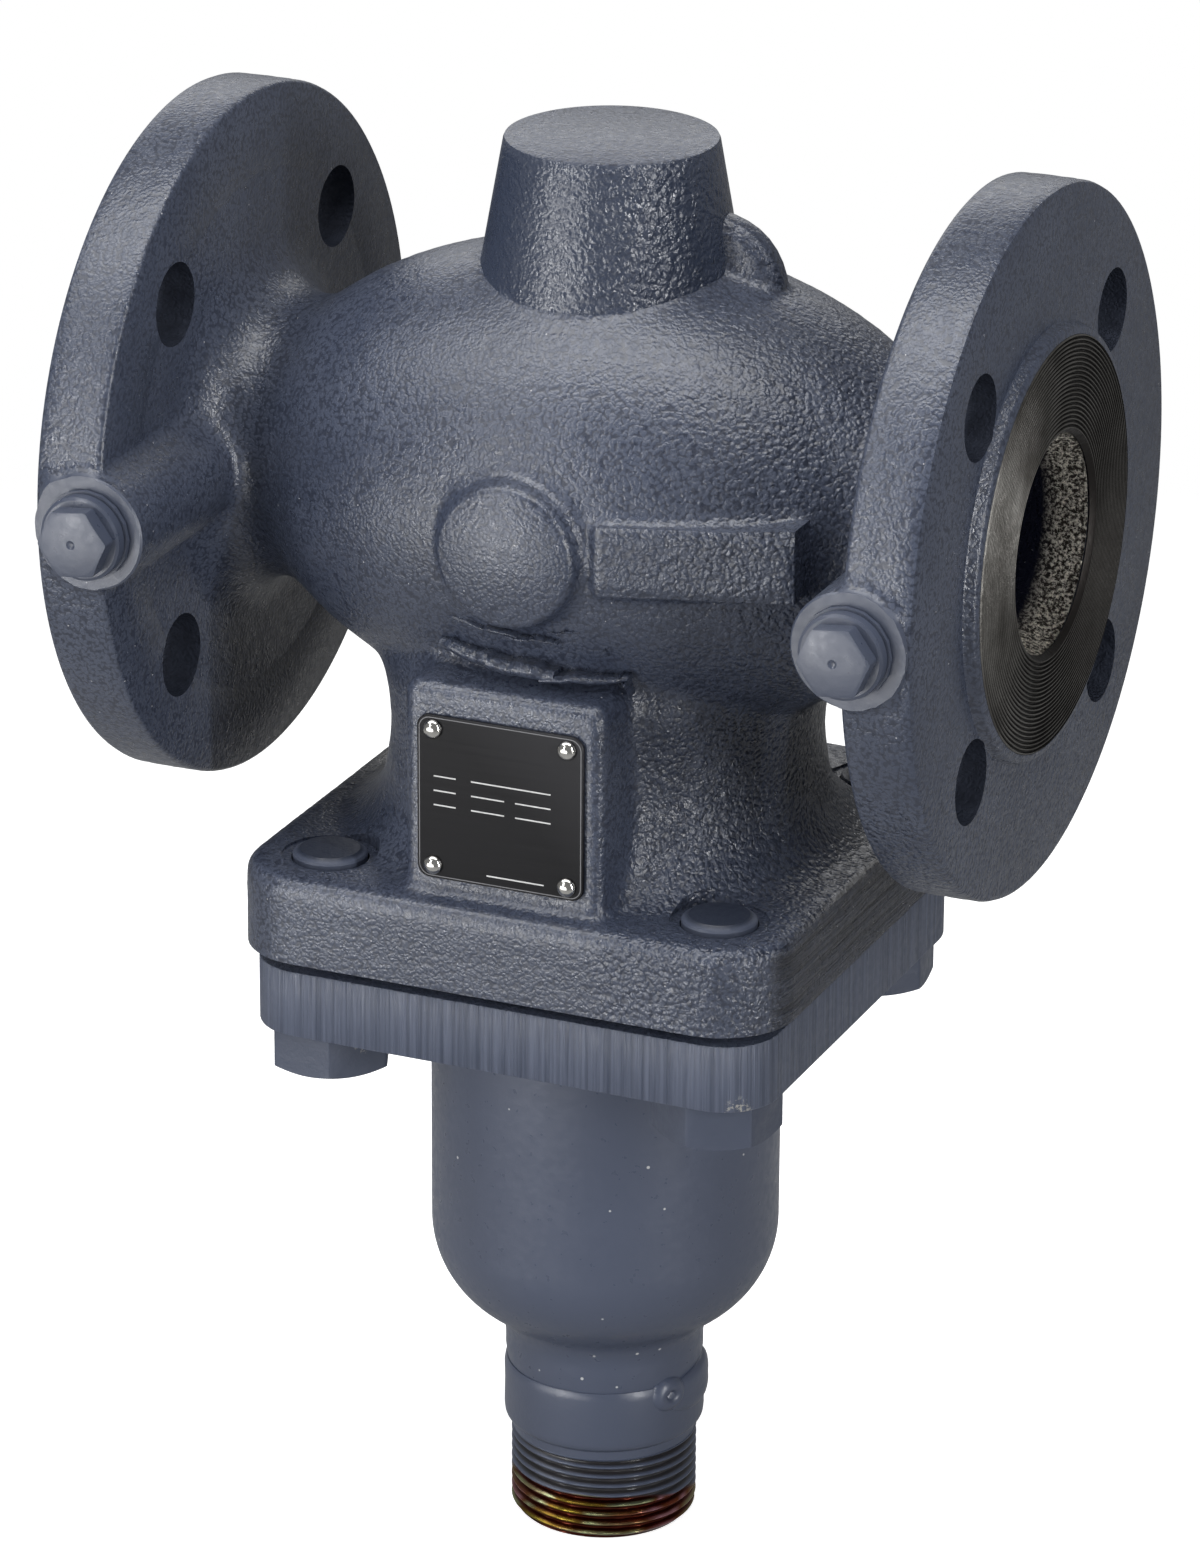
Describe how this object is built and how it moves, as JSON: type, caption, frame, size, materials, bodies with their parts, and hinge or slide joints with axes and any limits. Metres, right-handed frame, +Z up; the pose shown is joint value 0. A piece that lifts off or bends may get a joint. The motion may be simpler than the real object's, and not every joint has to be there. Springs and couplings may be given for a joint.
{
  "type": "globe valve",
  "caption": "Flanged globe valve with a domed cast body, a bolted square cover, a bellows cup and a threaded neck for an actuator that pushes its stem up to shut the flow.",
  "frame": {"origin": "where the pipe axis and the stem axis cross, in the middle of the body", "axes": "+X along the pipe from inlet to outlet, +Z up along the stem away from the threaded neck, -Y towards the nameplate and the plugs"},
  "size_m": [0.2, 0.1586, 0.3157],
  "materials": {
    "valve_body": "cast iron with a satin slate paint over a sandy casting skin",
    "seat_ring": "turned stainless steel",
    "valve_cone": "turned stainless steel",
    "cone_nut": "turned stainless steel",
    "valve_stem": "turned stainless steel",
    "upper_guide_bush": "turned bronze",
    "bellows": "stainless steel",
    "bellows_top_ring": "stainless steel",
    "bellows_base_ring": "stainless steel",
    "bellows_nut": "stainless steel",
    "bonnet_plate": "sawn and milled steel under satin slate paint",
    "body_gasket": "pressed graphite",
    "cover_bolt_1": "steel under satin slate paint",
    "cover_bolt_2": "steel under satin slate paint",
    "cover_bolt_3": "steel under satin slate paint",
    "cover_bolt_4": "steel under satin slate paint",
    "bellows_housing": "drawn steel under smooth satin slate paint",
    "threaded_neck": "turned steel, painted above and yellow passivated at the thread's end",
    "neck_bush": "turned bronze",
    "stem_seal_upper": "black rubber",
    "seal_spacer": "turned stainless steel",
    "stem_seal_lower": "black rubber",
    "gland_screw": "turned bronze",
    "tap_plug_inlet": "steel under satin slate paint",
    "tap_plug_outlet": "steel under satin slate paint",
    "tap_seal_inlet": "grey sealing ring",
    "tap_seal_outlet": "grey sealing ring",
    "nameplate": "black anodised aluminium with a bright edge",
    "nameplate_rivet_1": "polished steel",
    "nameplate_rivet_2": "polished steel",
    "nameplate_rivet_3": "polished steel",
    "nameplate_rivet_4": "polished steel"
  },
  "bodies": {
    "casing": {"valve_body": "valve_body", "seat_ring": "seat_ring", "upper_guide_bush": "upper_guide_bush", "bellows": "bellows", "bellows_base_ring": "bellows_base_ring", "bonnet_plate": "bonnet_plate", "body_gasket": "body_gasket", "cover_bolt_1": "cover_bolt_1", "cover_bolt_2": "cover_bolt_2", "cover_bolt_3": "cover_bolt_3", "cover_bolt_4": "cover_bolt_4", "bellows_housing": "bellows_housing", "threaded_neck": "threaded_neck", "neck_bush": "neck_bush", "stem_seal_upper": "stem_seal_upper", "seal_spacer": "seal_spacer", "stem_seal_lower": "stem_seal_lower", "gland_screw": "gland_screw", "tap_plug_inlet": "tap_plug_inlet", "tap_plug_outlet": "tap_plug_outlet", "tap_seal_inlet": "tap_seal_inlet", "tap_seal_outlet": "tap_seal_outlet", "nameplate": "nameplate", "nameplate_rivet_1": "nameplate_rivet_1", "nameplate_rivet_2": "nameplate_rivet_2", "nameplate_rivet_3": "nameplate_rivet_3", "nameplate_rivet_4": "nameplate_rivet_4"},
    "stem": {"valve_stem": "valve_stem", "valve_cone": "valve_cone", "cone_nut": "cone_nut", "bellows_top_ring": "bellows_top_ring", "bellows_nut": "bellows_nut"}
  },
  "joints": [
    {"name": "stem_slide", "type": "slide", "parent": "casing", "child": "stem", "axis": [0, 0, 1], "range_m": [0, 0.01], "stiffness_N_per_m": 5000, "deforming": ["bellows"]}
  ]
}
